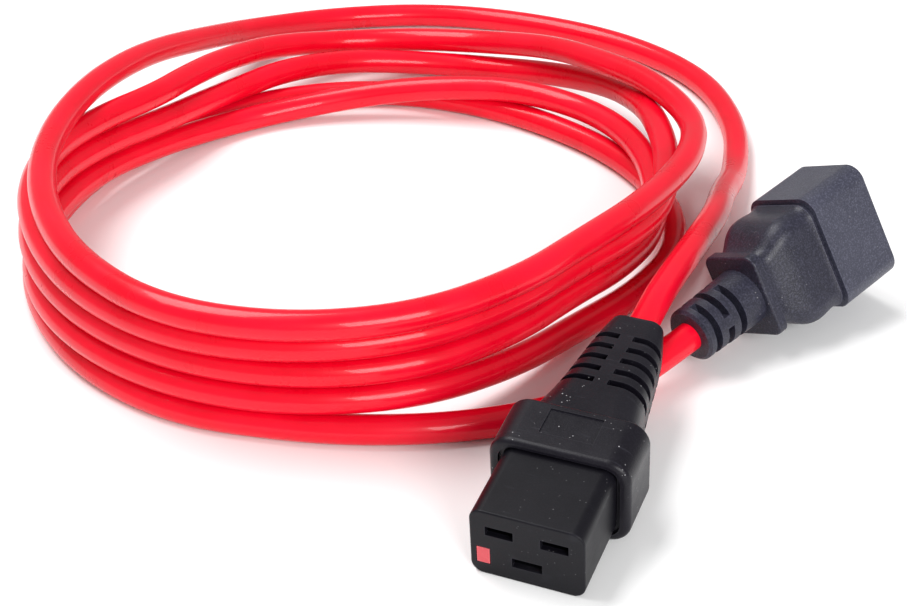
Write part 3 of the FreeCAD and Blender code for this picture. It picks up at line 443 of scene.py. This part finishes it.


# each plastic by its slot; the plug's grip is the same black with a coarser, paler grain
# the corner share and the wear colour paint edges paler, partly as rubbed wear and partly as a painted
# sheen
MOULDINGS = {
    "overmould_black": dict(
        colours=((0.0045, 0.0037, 0.0068), (0.0082, 0.0070, 0.0115)), roughness=(0.30, 0.46),
        grain=(2200, 1.2), swell=(140, 0.4), bump=0.6, specular=0.22, speckle=0.10,
        dust=0.60, scuffs=0.25, corner_wear_and_sheen=0.30, wear_and_sheen_colour=(0.045, 0.044, 0.056)),
    "plug_grip_black": dict(
        colours=((0.0105, 0.0100, 0.0180), (0.0195, 0.0190, 0.0325)), roughness=(0.28, 0.44),
        grain=(2000, 2.2), swell=(140, 0.3), bump=0.9, specular=0.34, speckle=0.32,
        dust=0.30, scuffs=0.08, corner_wear_and_sheen=0.25, wear_and_sheen_colour=(0.095, 0.095, 0.145)),
    "insert_black": dict(
        colours=((0.0030, 0.0027, 0.0046), (0.0055, 0.0050, 0.0078)), roughness=(0.34, 0.46),
        grain=(3200, 0.8), swell=(140, 0.2), bump=0.35, specular=0.17, speckle=0.07,
        dust=0.12, scuffs=0.10, corner_wear_and_sheen=0.30, wear_and_sheen_colour=(0.040, 0.039, 0.052)),
    "shroud_black": dict(
        colours=((0.026, 0.027, 0.045), (0.038, 0.039, 0.062)), roughness=(0.34, 0.48),
        grain=(2000, 2.2), swell=(140, 0.2), bump=0.9, specular=0.50, speckle=0.36,
        dust=0.20, scuffs=0.12, corner_wear_and_sheen=0.35, wear_and_sheen_colour=(0.15, 0.15, 0.21)),
    "bridge_grey": dict(
        colours=((0.055, 0.055, 0.062), (0.085, 0.085, 0.094)), roughness=(0.5, 0.6),
        grain=(2500, 0.8), swell=(140, 0.3), bump=0.3, speckle=0.1,
        corner_wear_and_sheen=0.2, wear_and_sheen_colour=(0.16, 0.16, 0.17)),
    "release_red": dict(
        colours=((0.56, 0.035, 0.05), (0.68, 0.06, 0.08)), roughness=(0.35, 0.45),
        grain=(2200, 0.5), swell=(140, 0.3), bump=0.2, coat=(0.2, 0.25), speckle=0.1,
        dust=0.2, corner_wear_and_sheen=0.25, wear_and_sheen_colour=(0.80, 0.25, 0.27)),
    "cable_red": dict(
        colours=((0.70, 0.0004, 0.014), (0.80, 0.0012, 0.022)), roughness=(0.24, 0.38),
        grain=(900, 0.25), swell=(60, 2.0), bump=0.3, specular=0.18, coat=(0.30, 0.07), speckle=0.03,
        wear_and_sheen_colour=(0.62, 0.02, 0.05)),
    "core_brown": dict(
        colours=((0.09, 0.03, 0.012), (0.12, 0.04, 0.016)), roughness=(0.35, 0.45),
        grain=(1500, 0.4), swell=(140, 0.3), bump=0.2),
    "core_blue": dict(
        colours=((0.01, 0.05, 0.35), (0.015, 0.07, 0.45)), roughness=(0.35, 0.45),
        grain=(1500, 0.4), swell=(140, 0.3), bump=0.2),
}
FINISHES = {name: moulded(name, **look) for name, look in MOULDINGS.items()}
FINISHES["contact_brass"] = pressed_metal("contact_brass", (0.80, 0.60, 0.30), 0.3)
FINISHES["pin_nickel"] = pressed_metal("pin_nickel", (0.80, 0.78, 0.73), 0.25)
FINISHES["lock_steel"] = pressed_metal("lock_steel", (0.62, 0.62, 0.62), 0.32)
FINISHES["core_green_yellow"] = striped_core("core_green_yellow", (0.03, 0.25, 0.04), (0.85, 0.65, 0.03))


def dress_nodes():
    """Every solid takes the finish of its own slot, and the plug's grip its own grain."""
    for entry in frame["record"]["subparts"]:
        finish = "plug_grip_black" if entry["node"] == "plug_grip" else entry["material_slot"]
        node = nodes[entry["node"]]
        node.data.materials.clear()
        node.data.materials.append(FINISHES[finish])


# ---------------------------------------------------------------- the studio

FLOOR_REACH = 6.0
FLOOR_COLOUR = (0.93, 0.93, 0.93, 1)
FLOOR_ROUGHNESS = 0.9
SKY_COLOUR = (1, 1, 1, 1)
SKY_STRENGTH = 0.40
# each light: its place, what it points at, its two sides, and its power in watts
LIGHTS = {
    "key_light": ((-0.55, 0.10, 1.1), (-0.08, 0.1, 0.0), (1.0, 0.5), 13),
    "front_light": ((0.85, -0.70, 0.60), (-0.03, 0.05, 0.0), (0.8, 0.6), 15),
}
# the camera stands at the connector's front right and looks down on it
CAMERA_PLACE = (0.1098, -0.3543, 0.2859)
CAMERA_RIGHT = (0.9259, 0.3777, -0.0018)
CAMERA_FORWARD = (-0.3209, 0.7841, -0.5313)
CAMERA_LENS = 73.43
CAMERA_SENSOR = 36.0
CAMERA_CLIP = (0.02, 30.0)


def make_floor():
    """A wide matt floor at the part's foot."""
    mesh = bpy.data.meshes.new("studio_floor")
    far = FLOOR_REACH
    mesh.from_pydata([(-far, -far, 0), (far, -far, 0), (far, far, 0), (-far, far, 0)], [], [(0, 1, 2, 3)])
    floor = bpy.data.objects.new("studio_floor", mesh)
    scene.collection.objects.link(floor)
    material, _, _, shader = new_material("studio_floor")
    shader.inputs["Base Color"].default_value = FLOOR_COLOUR
    shader.inputs["Roughness"].default_value = FLOOR_ROUGHNESS
    shader.inputs["Specular IOR Level"].default_value = 0.0
    mesh.materials.append(material)


def area_light(name, place, aim, size, power):
    """A soft rectangular light that points at a place."""
    light = bpy.data.lights.new(name, "AREA")
    light.shape = "RECTANGLE"
    light.size, light.size_y = size
    light.energy = power
    lamp = bpy.data.objects.new(name, light)
    lamp.location = place
    lamp.rotation_mode = "QUATERNION"
    lamp.rotation_quaternion = (Vector(aim) - Vector(place)).to_track_quat("-Z", "Y")
    scene.collection.objects.link(lamp)


def make_studio():
    """A pale floor under a plain white sky, and two soft lights."""
    make_floor()
    world = bpy.data.worlds.new("studio")
    scene.world = world
    world.use_nodes = True
    sky = world.node_tree.nodes["Background"]
    sky.inputs["Color"].default_value = SKY_COLOUR
    sky.inputs["Strength"].default_value = SKY_STRENGTH
    for name, light in LIGHTS.items():
        area_light(name, *light)


def make_camera():
    """The camera, turned so that its own axes are square to each other."""
    right = Vector(CAMERA_RIGHT).normalized()
    forward = Vector(CAMERA_FORWARD).normalized()
    up = right.cross(forward).normalized()
    right = forward.cross(up)
    data = bpy.data.cameras.new("studio_camera")
    data.sensor_width = CAMERA_SENSOR
    data.lens = CAMERA_LENS
    data.clip_start, data.clip_end = CAMERA_CLIP
    camera = bpy.data.objects.new("studio_camera", data)
    turn = Matrix((right, up, -forward)).transposed().to_4x4()
    camera.matrix_world = Matrix.Translation(Vector(CAMERA_PLACE)) @ turn
    scene.collection.objects.link(camera)
    scene.camera = camera


# ---------------------------------------------------------------- the whole

scene.view_settings.view_transform = "Standard"
dress_nodes()
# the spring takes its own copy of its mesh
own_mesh(nodes["lock_spring"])
cable = make_cable()
cable.data.materials.append(FINISHES["cable_red"])
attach(cable, "cord_set")
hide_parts("socket_lead", "cable_coil", "plug_lead")
make_studio()
make_camera()
